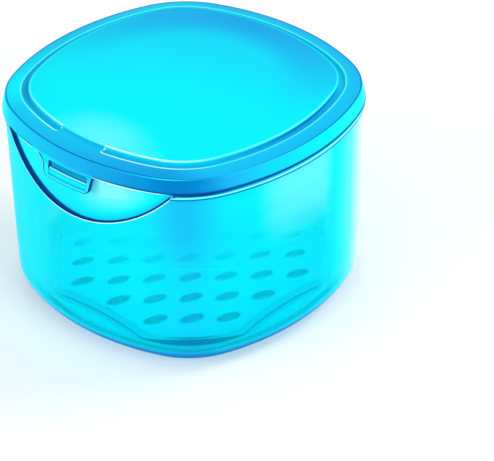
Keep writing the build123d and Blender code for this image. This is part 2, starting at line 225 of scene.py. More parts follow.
# =============================================================== camera, floor and light
def make_camera():
    """Camera that looks down on the front right corner."""
    back = Vector((math.sin(VIEW_AZIMUTH) * math.cos(VIEW_ELEVATION),
                   -math.cos(VIEW_AZIMUTH) * math.cos(VIEW_ELEVATION),
                   math.sin(VIEW_ELEVATION)))
    right = Vector((math.cos(VIEW_AZIMUTH), math.sin(VIEW_AZIMUTH), 0))
    up = back.cross(right)
    roll = Matrix.Rotation(VIEW_ROLL, 3, back)
    turn = Matrix((roll @ right, roll @ up, back)).transposed().to_4x4()
    data = bpy.data.cameras.new("camera")
    data.lens = LENS
    data.sensor_width = SENSOR
    data.clip_end = 10
    camera = bpy.data.objects.new("camera", data)
    camera.matrix_world = Matrix.Translation(CAMERA_SPOT) @ turn
    bpy.context.scene.collection.objects.link(camera)
    bpy.context.scene.camera = camera


def area_light(name, spot, size, watts, aim, tint):
    """Square soft lamp."""
    data = bpy.data.lights.new(name, "AREA")
    data.size = size
    data.energy = watts
    data.color = tint
    lamp = bpy.data.objects.new(name, data)
    lamp.location = spot
    lamp.rotation_euler = (Vector(aim) - Vector(spot)).to_track_quat("-Z", "Y").to_euler()
    bpy.context.scene.collection.objects.link(lamp)


def floor_paint():
    """Matt white that glows a little where it is seen straight, in gloss or through plastic."""
    paint = bpy.data.materials.new("floor_paint")
    paint.use_nodes = True
    tree = paint.node_tree
    shader = tree.nodes["Principled BSDF"]
    shader.inputs["Base Color"].default_value = (FLOOR_WHITE, FLOOR_WHITE, FLOOR_WHITE, 1)
    shader.inputs["Roughness"].default_value = 0.7
    shader.inputs["Specular IOR Level"].default_value = 0.2
    shader.inputs["Emission Color"].default_value = (1, 1, 1, 1)
    ray = put(tree, "ShaderNodeLightPath")
    seen = math_node(tree, "MAXIMUM", ray.outputs["Is Camera Ray"], ray.outputs["Is Glossy Ray"])
    seen = math_node(tree, "MAXIMUM", seen, ray.outputs["Is Transmission Ray"])
    lift = math_node(tree, "MULTIPLY", seen, FLOOR_LIFT, clamp=True)
    tree.links.new(lift, shader.inputs["Emission Strength"])
    return paint


def make_studio():
    """White floor, white surroundings and soft lamps."""
    scene = bpy.context.scene
    scene.view_settings.view_transform = "Standard"
    world = bpy.data.worlds.new("studio")
    scene.world = world
    world.use_nodes = True
    background = world.node_tree.nodes["Background"]
    background.inputs["Color"].default_value = (1, 1, 1, 1)
    background.inputs["Strength"].default_value = WORLD_GLOW
    mesh = bpy.data.meshes.new("floor")
    corners = ((-1, -1), (1, -1), (1, 1), (-1, 1))
    mesh.from_pydata([(x * FLOOR_HALF, y * FLOOR_HALF, -FLOOR_DROP * MM) for x, y in corners],
                     [], [(0, 1, 2, 3)])
    mesh.materials.append(floor_paint())
    floor = bpy.data.objects.new("floor", mesh)
    scene.collection.objects.link(floor)
    for lamp in LAMPS:
        area_light(*lamp)


# =============================================================== materials
# Tones from white to navy: the plastic's own cyan, and paler and darker tones that also serve as painted
# highlights and painted shade.
WHITE = (0.62, 0.97, 1.0)
PALE = (0.12, 0.92, 1.0)
CYAN = (0.0, 0.90, 1.0)
AZURE = (0.01, 0.45, 0.85)
BLUE = (0.0, 0.24, 0.62)
NAVY = (0.0, 0.06, 0.26)
T_WHITE, T_PALE, T_CYAN, T_AZURE, T_BLUE, T_NAVY = 0.0, 0.15, 0.3, 0.55, 0.75, 1.0
TONES = [(T_WHITE, WHITE), (T_PALE, PALE), (T_CYAN, CYAN), (T_AZURE, AZURE), (T_BLUE, BLUE), (T_NAVY, NAVY)]
TONE_DRIFT = 0.06           # slow cloudy change of tone
PALE_MARK = T_CYAN - 0.1    # paler tones than this are solid
DARK_MARK = T_CYAN + 0.24   # and so are darker ones than this

# share of what lies behind that the plastic hides, by height in millimetres
COVER_SPAN = 66.0
SHELL_COVER = [(0, 1), (4.4, 0.95), (6.8, 0.1), (8, 0.08), (16, 0.13), (26, 0.17), (32, 0.24), (38, 0.42),
               (46, 0.72), (52, 0.9)]
LID_COVER = [(0, 0.95), (COVER_SPAN, 0.95)]
BASKET_COVER = [(0, 0.2), (6, 0.1), (14, 0.14), (27, 0.22), (36, 0.35), (44, 0.5), (52, 0.9)]

# the same, by 1 - cosine of the angle between the line of sight and square on
SHELL_EDGES = [(0, 0.1), (0.5, 0.1), (0.56, 0.25), (0.62, 0.65), (0.7, 0.92), (0.8, 0.98), (1, 1)]
BASKET_EDGES = [(0, 0.1), (0.5, 0.09), (0.6, 0.14), (0.7, 0.6), (0.8, 0.85), (1, 0.95)]
SOLID = [(0, 1), (1, 1)]


def plastic(name, tone_source, rough, cover, edges, gloss, sheen):
    """Tinted see-through plastic. tone_source gives its tone, from white over cyan to navy. cover and
    edges list how much it hides, by height and by the angle of sight."""
    material = bpy.data.materials.new(name)
    material.use_nodes = True
    tree = material.node_tree
    calc = partial(math_node, tree)
    shader = tree.nodes["Principled BSDF"]
    place = put(tree, "ShaderNodeTexCoord")
    cloud = put(tree, "ShaderNodeTexNoise", Scale=22.0, Detail=2.0)
    tree.links.new(place.outputs["Object"], cloud.inputs["Vector"])
    drift = calc("MULTIPLY_ADD", cloud.outputs["Fac"], TONE_DRIFT, -TONE_DRIFT / 2)
    plain, whole = tone_source(tree, place)
    tone = calc("ADD", plain, drift, clamp=True)
    tree.links.new(ramp(tree, TONES, tone), shader.inputs["Base Color"])
    peel = put(tree, "ShaderNodeTexNoise", Scale=700.0, Detail=1.0)
    tree.links.new(place.outputs["Object"], peel.inputs["Vector"])
    bump = put(tree, "ShaderNodeBump", Strength=0.05, Distance=0.0001)
    tree.links.new(peel.outputs["Fac"], bump.inputs["Height"])
    tree.links.new(bump.outputs["Normal"], shader.inputs["Normal"])
    blotch = calc("MULTIPLY_ADD", cloud.outputs["Fac"], 0.1, rough - 0.05)
    tree.links.new(blotch, shader.inputs["Roughness"])
    spot = put(tree, "ShaderNodeSeparateXYZ")
    tree.links.new(place.outputs["Object"], spot.inputs[0])
    height = calc("MULTIPLY", spot.outputs["Z"], 1 / (COVER_SPAN * MM))
    level = ramp(tree, [(z / COVER_SPAN, (share, share, share)) for z, share in cover], height, "EASE")
    facing = put(tree, "ShaderNodeLayerWeight", Blend=0.5)
    turns = [(turn, (share, share, share)) for turn, share in edges]
    edge = ramp(tree, turns, facing.outputs["Facing"], "EASE")
    clear = calc("MULTIPLY", calc("SUBTRACT", 1.0, level), calc("SUBTRACT", 1.0, edge))
    pale = calc("MULTIPLY", calc("SUBTRACT", PALE_MARK, plain), 12, clamp=True)
    dark = calc("MULTIPLY", calc("SUBTRACT", plain, DARK_MARK), 6, clamp=True)
    solid = calc("MAXIMUM", calc("SUBTRACT", 1.0, clear), calc("MAXIMUM", pale, dark))
    if whole:
        solid = calc("MAXIMUM", solid, whole)
    ray = put(tree, "ShaderNodeLightPath")
    direct = calc("MULTIPLY", ray.outputs["Is Shadow Ray"], LIGHT_PASS)
    scattered = calc("MULTIPLY", ray.outputs["Is Diffuse Ray"], GLOW_PASS)
    kept = calc("SUBTRACT", 1.0, calc("MAXIMUM", direct, scattered))
    tree.links.new(calc("MULTIPLY", solid, kept), shader.inputs["Alpha"])
    shader.inputs["Specular IOR Level"].default_value = gloss / 3
    shader.inputs["Coat Weight"].default_value = gloss
    shader.inputs["Coat Roughness"].default_value = 0.05
    shader.inputs["Sheen Weight"].default_value = sheen
    shader.inputs["Sheen Roughness"].default_value = 0.15
    return material


def steel(name):
    """Drawn steel wire: grey metal with fine streaks along x."""
    material = bpy.data.materials.new(name)
    material.use_nodes = True
    tree = material.node_tree
    shader = tree.nodes["Principled BSDF"]
    place = put(tree, "ShaderNodeTexCoord")
    stretch = put(tree, "ShaderNodeMapping")
    stretch.inputs["Scale"].default_value = (60, 2500, 2500)
    tree.links.new(place.outputs["Object"], stretch.inputs["Vector"])
    streaks = put(tree, "ShaderNodeTexNoise", Scale=1.0, Detail=3.0)
    tree.links.new(stretch.outputs["Vector"], streaks.inputs["Vector"])
    greys = [(0.3, (0.46, 0.48, 0.5)), (0.7, (0.66, 0.68, 0.7))]
    tree.links.new(ramp(tree, greys, streaks.outputs["Fac"]), shader.inputs["Base Color"])
    blotch = math_node(tree, "MULTIPLY_ADD", streaks.outputs["Fac"], 0.2, 0.18)
    tree.links.new(blotch, shader.inputs["Roughness"])
    bump = put(tree, "ShaderNodeBump", Strength=0.1, Distance=0.00005)
    tree.links.new(streaks.outputs["Fac"], bump.inputs["Height"])
    tree.links.new(bump.outputs["Normal"], shader.inputs["Normal"])
    shader.inputs["Metallic"].default_value = 1.0
    return material


def painted_tone(tree, place):
    """Tone written on the mesh."""
    return put(tree, "ShaderNodeAttribute", attribute_name="tone").outputs["Fac"], None


def plain_tone(tone):
    """One tone all over."""
    return lambda tree, place: (tone, None)


def basket_tone(tree, place):
    """The basket is cyan, with deep blue painted shade in and round its drain holes and at its cut corners'
    foot.
    Returns the tone, and 1 on the floor, which hides what lies behind it."""
    calc = partial(math_node, tree)
    spot = put(tree, "ShaderNodeSeparateXYZ")
    tree.links.new(place.outputs["Object"], spot.inputs[0])
    facing = put(tree, "ShaderNodeSeparateXYZ")
    tree.links.new(place.outputs["Normal"], facing.inputs[0])
    x, y, z = (calc("MULTIPLY", spot.outputs[axis], 1 / MM) for axis in "XYZ")
    upright = calc("LESS_THAN", calc("ABSOLUTE", facing.outputs["Z"]), 0.7)
    low = calc("LESS_THAN", z, BASKET_FLOOR_TOP + 0.1)

    # painted shade of the holes: an ellipse in each cell of the staggered rows, weaker toward the back
    along = calc("ROUND", calc("MULTIPLY", calc("ADD", x, y), 0.5 / HOLE_PITCH))
    across = calc("ROUND", calc("MULTIPLY", calc("SUBTRACT", x, y), 0.5 / HOLE_PITCH))
    cell_x = calc("MULTIPLY", calc("ADD", along, across), HOLE_PITCH)
    cell_y = calc("MULTIPLY", calc("SUBTRACT", along, across), HOLE_PITCH)
    off_x = calc("SUBTRACT", x, cell_x)
    off_y = calc("SUBTRACT", y, cell_y)
    reach = 0.0
    for turn, half in ((HOLE_TURN, HOLE_LENGTH / 2), (HOLE_TURN + math.pi / 2, HOLE_WIDTH / 2)):
        part = calc("MULTIPLY", off_x, math.cos(turn) / half)
        part = calc("ADD", part, calc("MULTIPLY", off_y, math.sin(turn) / half))
        reach = calc("ADD", calc("MULTIPLY", part, part), reach)
    far_x = calc("ABSOLUTE", cell_x)
    far_y = calc("ABSOLUTE", cell_y)
    inside = calc("LESS_THAN", calc("MAXIMUM", far_x, far_y), HOLES_REACH)
    within = calc("LESS_THAN", calc("ADD", far_x, far_y), HOLES_CUT)
    pierced = calc("MULTIPLY", calc("MULTIPLY", inside, within), low)
    past = calc("DIVIDE", calc("SUBTRACT", calc("SQRT", reach), 1.0), HOLE_SOFT)
    soft = calc("MAXIMUM", calc("SUBTRACT", 1.0, past), 0.0)
    depth = calc("ADD", calc("MULTIPLY", across, ROW_FADE), ROW_MIDDLE, clamp=True)
    holes = calc("MULTIPLY", calc("MULTIPLY", soft, pierced, clamp=True), depth)

    # lens-shaped painted shade at the foot of each cut corner, and a fainter painted border all round
    skew = calc("SUBTRACT", calc("ABSOLUTE", x), calc("ABSOLUTE", y))
    skew = calc("DIVIDE", skew, LENS_HALF)
    lens = calc("SUBTRACT", 1.0, calc("MULTIPLY", skew, skew))
    lens = calc("MULTIPLY", calc("MAXIMUM", lens, 0.0), LENS_HEIGHT)
    lens = calc("ADD", lens, BASKET_BASE_Z + 0.3)
    foot = calc("MULTIPLY", calc("LESS_THAN", z, lens), upright)
    border = calc("MULTIPLY", calc("LESS_THAN", z, BASKET_BASE_Z + FOOT_LINE), upright)
    foot = calc("MAXIMUM", foot, calc("MULTIPLY", border, BORDER_SHADE))
    shade = calc("MAXIMUM", holes, calc("MULTIPLY", foot, FOOT_SHADE))
    tone = calc("ADD", calc("MULTIPLY", shade, T_NAVY - T_CYAN), T_CYAN + 0.03)
    return tone, calc("SUBTRACT", low, calc("MULTIPLY", low, upright))


def mix(a, b, share):
    """Straight blend from a to b."""
    share = min(1.0, max(0.0, share))
    return a + (b - a) * share


def ease(low, high, value):
    """Smooth step from 0 at low to 1 at high."""
    share = min(1.0, max(0.0, (value - low) / (high - low)))
    return share * share * (3 - 2 * share)


def bell(angle, middle, spread):
    """1 at the middle angle, 0 beyond the spread, in degrees, round the circle."""
    off = abs((angle - middle + 180) % 360 - 180)
    return 1 - ease(0, spread, off)


# =============================================================== plan outline
def turned(x, y, angle):
    """Point turned about the case's axis."""
    return x * math.cos(angle) - y * math.sin(angle), x * math.sin(angle) + y * math.cos(angle)


SIDE_CENTRE = SIDE_RADIUS - PLAN_HALF
RADIUS_STEP = SIDE_RADIUS - CORNER_RADIUS
CORNER_TILT = math.asin(SIDE_CENTRE * math.sin(math.radians(135)) / RADIUS_STEP)
CORNER_SPOT = RADIUS_STEP * math.sin(math.radians(45) - CORNER_TILT)
SIDE_SPREAD = math.atan2(CORNER_SPOT, SIDE_CENTRE + CORNER_SPOT)


def plan_columns(front_x=()):
    """Columns round the plan: each is (arc centre x, arc centre y, arc radius, angle)."""
    columns = []
    for quarter in range(4):
        turn = quarter * math.pi / 2
        for i in range(SIDE_STEPS):
            angle = mix(-SIDE_SPREAD, SIDE_SPREAD, i / SIDE_STEPS) + turn
            columns.append((*turned(-SIDE_CENTRE, 0, turn), SIDE_RADIUS, angle))
        for i in range(CORNER_STEPS):
            angle = mix(SIDE_SPREAD, math.pi / 2 - SIDE_SPREAD, i / CORNER_STEPS) + turn
            columns.append((*turned(CORNER_SPOT, CORNER_SPOT, turn), CORNER_RADIUS, angle))
    front = 1.5 * math.pi
    for x in front_x:
        if abs(x) < SIDE_RADIUS * math.sin(SIDE_SPREAD):
            columns.append((0, SIDE_CENTRE, SIDE_RADIUS, front + math.asin(x / SIDE_RADIUS)))
        else:
            side = math.copysign(1, x)
            angle = math.asin((abs(x) - CORNER_SPOT) / CORNER_RADIUS)
            columns.append((side * CORNER_SPOT, -CORNER_SPOT, CORNER_RADIUS, front + side * angle))
    return sorted(columns, key=lambda column: column[3] % (2 * math.pi))


def on_plan(column, inset):
    """Point of a column, moved inward by inset."""
    x, y, radius, angle = column
    return x + (radius - inset) * math.cos(angle), y + (radius - inset) * math.sin(angle)


def front_y(x, inset):
    """The plan's front line at x, moved inward by inset."""
    return SIDE_CENTRE - math.sqrt((SIDE_RADIUS - inset) ** 2 - x**2)


def front_point(x, z, inset):
    """Point at height z on the plan's front line, moved inward by inset."""
    return x, front_y(x, inset), z


def tone_along(tones, share):
    """Tone at a share of the way through a plain tone or a list of them."""
    if not isinstance(tones, tuple):
        return tones
    step = min(int(share * (len(tones) - 1)), len(tones) - 2)
    return mix(tones[step], tones[step + 1], share * (len(tones) - 1) - step)


def rounded(points):
    """Profile of (inset, z, radius, tone) corners turned into (inset, z, tone) with round corners."""
    path = []
    for i, (inset, z, radius, tone) in enumerate(points):
        if radius == 0:
            path.append((inset, z, tone_along(tone, 0.5)))
            continue
        here = Vector((inset, z))
        before = Vector(points[i - 1][:2]) - here
        after = Vector(points[i + 1][:2]) - here
        start = here + before.normalized() * min(radius, 0.48 * before.length)
        end = here + after.normalized() * min(radius, 0.48 * after.length)
        for step in range(ROUND_STEPS + 1):
            t = step / ROUND_STEPS
            spot = start.lerp(here, t).lerp(here.lerp(end, t), t)
            path.append((spot.x, spot.y, tone_along(tone, t)))
    return path


def swept(name, columns, profile, caps, cap_tones, look):
    """Closed skin of a profile swept round the plan, with a cap at each end of the profile."""
    verts, tones, faces, rows = [], [], [], []
    count = len(columns)
    paths = [profile(column) for column in columns]
    for row in range(len(paths[0])):
        rows.append(len(verts))
        for column, path in zip(columns, paths):
            inset, z, tone = path[row]
            x, y = on_plan(column, inset)
            verts.append((x, y, z))
            tones.append(tone)
    for low, high in zip(rows, rows[1:]):
        faces += ring_faces(low, high, count)
    for row, shape, paint in zip((rows[0], rows[-1]), caps, cap_tones):
        edge = row
        for step in range(1, CAP_STEPS):
            share = 1 - step / CAP_STEPS
            start = len(verts)
            for i in range(count):
                x, y, z = verts[row + i]
                verts.append((x * share, y * share, z + shape(share)))
                tones.append(paint(tones[row + i], x * share, y * share, share))
            faces += ring_faces(start, edge, count)
            edge = start
        middle = len(verts)
        verts.append((0, 0, verts[row][2] + shape(0)))
        tones.append(paint(tones[row], 0, 0, 0))
        faces += [(middle, edge + i, edge + (i + 1) % count) for i in range(count)]
    return piece_from(name, verts, faces, tones, look)


def ring_faces(low, high, count):
    """Quads between two rows of points that each close on themselves."""
    return [(low + i, high + i, high + (i + 1) % count, low + (i + 1) % count) for i in range(count)]


def piece_from(name, verts, faces, tones, look):
    """Object from points in millimetres, faces and tones, smooth shaded, riding on a body."""
    body, slot, material = look
    mesh = bpy.data.meshes.new(name)
    mesh.from_pydata([(x * MM, y * MM, z * MM) for x, y, z in verts], [], faces)
    layer = mesh.attributes.new("tone", "FLOAT", "POINT")
    layer.data.foreach_set("value", tones)
    work = bmesh.new()
    work.from_mesh(mesh)
    bmesh.ops.recalc_face_normals(work, faces=work.faces)
    for face in work.faces:
        face.smooth = True
    work.to_mesh(mesh)
    work.free()
    mesh.materials.append(material)
    piece = bpy.data.objects.new(name, mesh)
    bpy.context.scene.collection.objects.link(piece)
    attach(piece, body)
    return piece


# =============================================================== cup
def scoop_z(x):
    """Height of the scoop's arc at x."""
    return SHOULDER_Z - SCOOP_DROP + SCOOP_RADIUS - math.sqrt(SCOOP_RADIUS**2 - (x - SCOOP_X) ** 2)


def wall_inset(z):
    """Inset of the drafted wall at height z."""
    return WALL_INSET + WALL_TAPER * (1 - z / SHOULDER_Z)


def fillet(inset, low, radius, turns, paint):
    """Corner points of a quarter round that rises from z = low; paint gives the tone of each turn."""
    points = []
    for turn in turns:
        angle = math.pi / 2 * turn
        points.append((inset + radius * (1 - math.sin(angle)), low + radius * (1 - math.cos(angle)), 0,
                       paint(turn)))
    return points


def cup_profile(column):
    """Outer wall, bead or scoop, neck and bore, from the underside to the floor. The wall carries painted
    shade, bluer at the front right corner, and painted highlights: white round the right corner and a pale
    patch high on its right side."""
    x, y = on_plan(column, 1)
    cut = SHOULDER_Z
    if y < 0 and abs(x - SCOOP_X) < SCOOP_HALF:
        cut = min(cut, scoop_z(x))
    around = math.degrees(column[3])
    # Painted shade makes the wall bluer round the front right corner; painted highlights turn it white
    # round the right corner and pale high on its right side.
    wall_tone = T_CYAN + 0.03 + 0.19 * bell(around, 312, 30)
    wall_tone -= 0.33 * ease(8, 28, around) * ease(92, 62, around)
    off = (around + 183) % 360 - 180
    highlight_tone = wall_tone - 0.18 * (1 - ease(7, 14, off) if off > 0 else 1 - ease(3, 15, -off))
    bead_low = min(SHOULDER_Z - BEAD_HEIGHT, cut - 0.3)
    scooped = ease(0.2, 1.2, SHOULDER_Z - cut)
    bead = mix(BEAD_INSET, wall_inset(bead_low), scooped)
    low = wall_inset(0)
    points = [(low + BASE_FILLET + 1, 0, 0, T_CYAN), (low + BASE_FILLET, 0, 0, T_CYAN)]
    points += fillet(low, 0, BASE_FILLET, [step / FILLET_STEPS for step in range(1, FILLET_STEPS + 1)],
                     lambda turn: base_tone(turn * FILLET_STEPS, wall_tone))
    for share in (0.2, 0.4, 0.5, 0.55, 0.6, 0.66, 0.8, 0.92):
        z = mix(BASE_FILLET, bead_low, share)
        points.append((wall_inset(z), z, 0, mix(wall_tone, highlight_tone, ease(0.48, 0.75, share))))
    # Painted lines on bead, scoop and neck: the bead's white band and the neck's white line are painted
    # highlights; the navy on the bead's top and the scoop's ledge, and the azure on the neck, are painted
    # shade under the lid's skirt.
    near_left = ease(-12, 18, -x) * scooped
    dug = ease(BEAD_HEIGHT - 0.3, BEAD_HEIGHT + 0.1, SHOULDER_Z - cut)
    line_tone = mix(T_NAVY, wall_tone, ease(BEAD_HEIGHT - 0.4, BEAD_HEIGHT, SHOULDER_Z - cut))
    shaded = (1 - scooped) * (0.35 + 0.65 * bell(around, 320, 45))
    under_skirt = max(mix(cut + 2.3, NECK_Z, 0.6), 56.6)
    neck_line = mix(T_AZURE, T_WHITE, ease(10, 12, x)) if scooped == 1 else T_AZURE
    points += [
        (wall_inset(bead_low) - 0.01, bead_low - 0.3, 0, mix(highlight_tone, wall_tone, scooped)),
        (wall_inset(bead_low), bead_low, 0.12, line_tone),
        (bead, bead_low + 0.02, 0.12, mix(line_tone, T_WHITE, dug * ease(-20, -4, x))),
        (bead, mix(bead_low, cut, 0.5), 0, T_WHITE),
        (bead, cut - 0.35 * (1 - dug), 0, mix(T_WHITE, T_NAVY, shaded * 0.6)),
        (bead, cut, 0.1, mix(T_WHITE, T_NAVY, max(dug, shaded))),
        (mix(bead, NECK_INSET, 0.6), cut, 0, mix(T_PALE, T_NAVY, max(dug, shaded))),
        (NECK_INSET, cut + 0.01, 0.2, mix(T_PALE, T_NAVY, max(dug, shaded))),
        (NECK_INSET, cut + 0.2 + 1.4 * near_left, 0, mix(T_AZURE, T_NAVY, dug)),
        (NECK_INSET, cut + 0.45 + 1.5 * near_left, 0, mix(T_AZURE, T_AZURE - 0.1, dug)),
        (NECK_INSET, cut + 2.3, 0, mix(T_AZURE, T_CYAN, scooped)),
        (NECK_INSET, mix(cut + 2.3, NECK_Z, 0.4), 0, scoop_tone(x, scooped)),
        (NECK_INSET, under_skirt, 0, scoop_tone(x, scooped)),
        (NECK_INSET, under_skirt + 0.15, 0, neck_line),
        (NECK_INSET, under_skirt + 0.3, 0, neck_line),
        (NECK_INSET, NECK_Z, 0.35, T_CYAN),
        (BORE_INSET, NECK_Z, 0.35, T_CYAN),
    ]
    bore_low = low + WALL
    inner_fillet = BASE_FILLET - WALL
    bore_end = FLOOR + inner_fillet
    for share in (0.25, 0.5, 0.75):
        points.append((mix(BORE_INSET, bore_low, share), mix(NECK_Z, bore_end, share), 0, T_CYAN))
    inner_turns = [1 - 2 * step / FILLET_STEPS for step in range(FILLET_STEPS // 2 + 1)]
    points += fillet(bore_low, FLOOR, inner_fillet, inner_turns, lambda turn: T_CYAN)
    points.append((bore_low + inner_fillet + 1, FLOOR, 0, T_CYAN))
    return rounded(points)


def base_tone(step, wall_tone):
    """Dark line low on the base's round edge, cyan under it."""
    return mix(mix(T_CYAN, T_BLUE + 0.03, (step - 4) / 1.5), wall_tone, (step - 10.2) / 3)


def scoop_tone(x, scooped):
    """The scoop's face carries a painted highlight, palest right of its middle."""
    pale = 1 - ease(3, 14, abs(x - 15))
    return mix(T_AZURE, mix(T_CYAN, T_PALE - 0.03, pale), scooped)


def edge_tone_kept(tone, x, y, share):
    """Cap that keeps the tone of its edge."""
    return tone


def floor_shade(tone, x, y, share):
    """Painted shade: the cup's floor is bluer under the basket."""
    out = max(abs(x), abs(y), abs(x + y) * 0.7, abs(x - y) * 0.7)
    return mix(T_CYAN, T_BLUE - 0.08, ease(38, 28, out))


def domed(rise):
    """Height of a domed cap over its edge, by the share of the way out."""
    return lambda share: rise * (1 - share**2)


def make_cup(look):
    """The cup's shell."""
    fine = [SCOOP_X + side * (SCOOP_HALF + step)
            for side in (-1, 1) for step in (-1.5, -1, -0.6, -0.3, -0.1, 0, 0.1, 0.3)]
    caps = (domed(0), domed(0))
    return swept("cup_shell", plan_columns(fine), cup_profile, caps, (edge_tone_kept, floor_shade), look)


# =============================================================== lid
def groove_half(x, y):
    """Half width of the groove at a column: nothing over the latch, and round at its ends."""
    full = GROOVE_WIDTH / 2
    if y > 0:
        return full
    past = abs(x) - GROOVE_GAP_HALF + full
    if past <= 0:
        return 0.0
    return full if past >= full else math.sqrt(full**2 - (full - past) ** 2)


def lid_profile(column):
    """From the crown's edge over the groove, rim and skirt, and back under to the hollow's edge."""
    x, y = on_plan(column, 0)
    around = math.degrees(column[3])
    half = groove_half(x, y)
    middle = GROOVE_INSET + GROOVE_WIDTH / 2
    grooved = ease(0, 0.5, half)
    deep = GROOVE_EDGE_Z - GROOVE_DEPTH * (1 if half > 0 else 0)
    spread = max(half, 0.25)
    over_tab = y < 0 and TAB_X - TAB_HALF - TAB_SHOULDER < x < TAB_X + TAB_HALF + TAB_LEAN
    # Rim and skirt are lighter or bluer by direction round the plan: painted light and shade.
    rim_tone = T_AZURE - 0.06 - 0.2 * bell(around, 218, 48)
    rim_tone += 0.13 * bell(around, 300, 36) - 0.06 * bell(around, 150, 50)
    skirt_tone = T_AZURE - 0.02 + 0.28 * bell(around, 308, 44) - 0.26 * bell(around, 20, 56)
    skirt_tone = max(skirt_tone - 0.25 * bell(around, 225, 48), T_CYAN)
    # The crown carries painted shade and a painted highlight.
    crown_tone = T_CYAN + 0.02 + crown_shade_and_highlight(x, y)
    # Painted white highlights on the groove's edges and at its ends; painted navy shade in the groove.
    lit = max(bell(around, 290, 90), 0.45)
    depth = max(bell(around, 215, 42), 0.7 * bell(around, 8, 34))
    floor_tone = mix(rim_tone, T_CYAN + 0.08 + 0.12 * depth, grooved)
    pit_tone = mix(rim_tone, mix(T_CYAN + 0.14, T_NAVY, depth), grooved)
    opened = ease(0, 0.12, half)
    ending = opened * ease(GROOVE_WIDTH / 2, 0.35 * GROOVE_WIDTH, half)
    edge_tone = mix(rim_tone, mix(T_CYAN, T_WHITE, lit), opened)
    crown_line = mix(crown_tone, T_WHITE, lit * opened)
    # A painted dark line and a painted highlight run along the rim's top edge.
    front_right = bell(around, 330, 55) if y < 0 or x > 0 else 0
    dark_edge = mix(T_NAVY - 0.05, rim_tone + 0.1, front_right)
    back_edge = mix(rim_tone + 0.04, dark_edge, 0.9 * bell(around, 135, 100))
    highlight_edge = mix(skirt_tone, T_PALE, 0.9 * bell(around, 301, 26))
    # The skirt's lower edge carries painted navy shade, and a painted white highlight where it runs over
    # the scoop.
    over_scoop = ease(SCOOP_HALF + 1, SCOOP_HALF - 3, abs(x - SCOOP_X)) if y < 0 else 0
    lined = 0.5 if y > 0 and x < 0 else 1.0
    if y < 0 and x < 0:
        lined = ease(-22, -17, x) if x > -30 else 0.3 * ease(-30, -42, x)
    thick = ease(12, 26, x) * (1 - 0.6 * bell(around, 20, 40))
    line_tone = mix(skirt_tone, T_NAVY, lined)
    lip_tone = mix(skirt_tone, mix(T_NAVY, T_WHITE, over_scoop), lined)
    if over_tab:
        line_tone = lip_tone = skirt_shade(x, SKIRT_Z)
    points = [
        (CROWN_INSET + CROWN_LEDGE, CROWN_EDGE_Z + 0.12, 0, crown_tone),
        (CROWN_INSET + 1.0, CROWN_EDGE_Z + 0.06, 0, crown_tone),
        (CROWN_INSET + 0.68, CROWN_EDGE_Z + 0.04, 0, crown_tone),
        (CROWN_INSET + 0.02, CROWN_EDGE_Z, 0.5, (crown_line, crown_line, mix(rim_tone, T_CYAN, grooved))),
        (CROWN_INSET, GROOVE_EDGE_Z + 0.02, 0.1, mix(pit_tone, T_WHITE, ending)),
        (middle + spread, GROOVE_EDGE_Z, 0.06, mix(pit_tone, T_WHITE, ending)),
        (middle + spread - 0.02, deep, 0.3, floor_tone + 0.1 * grooved),
        (middle - spread + 0.02, deep, 0.3, floor_tone),
        (middle - spread, GROOVE_EDGE_Z, 0.3, (floor_tone, pit_tone, edge_tone, edge_tone, edge_tone)),
        (middle - spread - 0.45, GROOVE_EDGE_Z - 0.03, 0, edge_tone),
        (middle - spread - 0.6, GROOVE_EDGE_Z - 0.05, 0, rim_tone),
        (mix(SKIRT_FLARE, GROOVE_INSET, 0.5), mix(RIM_Z, GROOVE_EDGE_Z, 0.5), 0, rim_tone + 0.02),
        (SKIRT_FLARE + 1.3, mix(RIM_Z, GROOVE_EDGE_Z, 0.27), 0, rim_tone + 0.04),
        (SKIRT_FLARE, RIM_Z, 0.75, (back_edge, dark_edge, highlight_edge, skirt_tone, skirt_tone)),
    ]
    for above, tone in ((2.9, skirt_tone), (1.6, skirt_tone), (0.9, skirt_tone),
                        (0.6, mix(skirt_tone, line_tone, 0.4 * thick)), (0.4, line_tone), (0.26, line_tone),
                        (0.18, lip_tone)):
        points.append((mix(0, SKIRT_FLARE, above / (RIM_Z - SKIRT_Z)), SKIRT_Z + above, 0, tone))
    points.append((0, SKIRT_Z, 0.05 if over_tab else 0.12, lip_tone))
    points += [
        (SKIRT_WALL, SKIRT_Z, 0.3, T_BLUE),
        (SKIRT_WALL, mix(SKIRT_Z, CEILING_Z, 0.5), 0, T_AZURE),
        (SKIRT_WALL, CEILING_Z, 0.3, T_AZURE),
        (mix(SKIRT_WALL, HOLLOW_INSET, 0.5), CEILING_Z, 0, T_AZURE),
        (HOLLOW_INSET, CEILING_Z, 0.3, T_AZURE),
        (HOLLOW_INSET + 0.9, HOLLOW_Z, 0.3, T_CYAN),
        (HOLLOW_INSET + 2.0, HOLLOW_Z, 0, T_CYAN),
    ]
    return rounded(points)


def crown_shade_and_highlight(x, y):
    """Painted light on the crown: a blue crescent of painted shade along its back edge, and a painted
    highlight, a pale patch, in front.
    """
    around = math.degrees(math.atan2(y, x))
    reach = math.hypot(x, y) / PLAN_HALF
    behind = (y * math.cos(math.radians(18)) - x * math.sin(math.radians(18))) / PLAN_HALF
    pale = ease(0, 1, 1 - math.hypot((x - HIGHLIGHT_X) / 28, (y - HIGHLIGHT_Y) / 17))
    crescent = 0.17 * bell(around, 105, 115) * ease(0.6, 0.95, reach) + 0.1 * ease(-0.35, 0.8, behind)
    return crescent - 0.15 * pale


def crown_tone_at(tone, x, y, share):
    """Tone of the crown's cap, with its painted shade and highlight: its edge, which lies inside the plan,
    stands for the whole outline.
    """
    outer = PLAN_HALF / (PLAN_HALF - CROWN_INSET - CROWN_LEDGE)
    return T_CYAN + 0.02 + crown_shade_and_highlight(x * outer, y * outer)


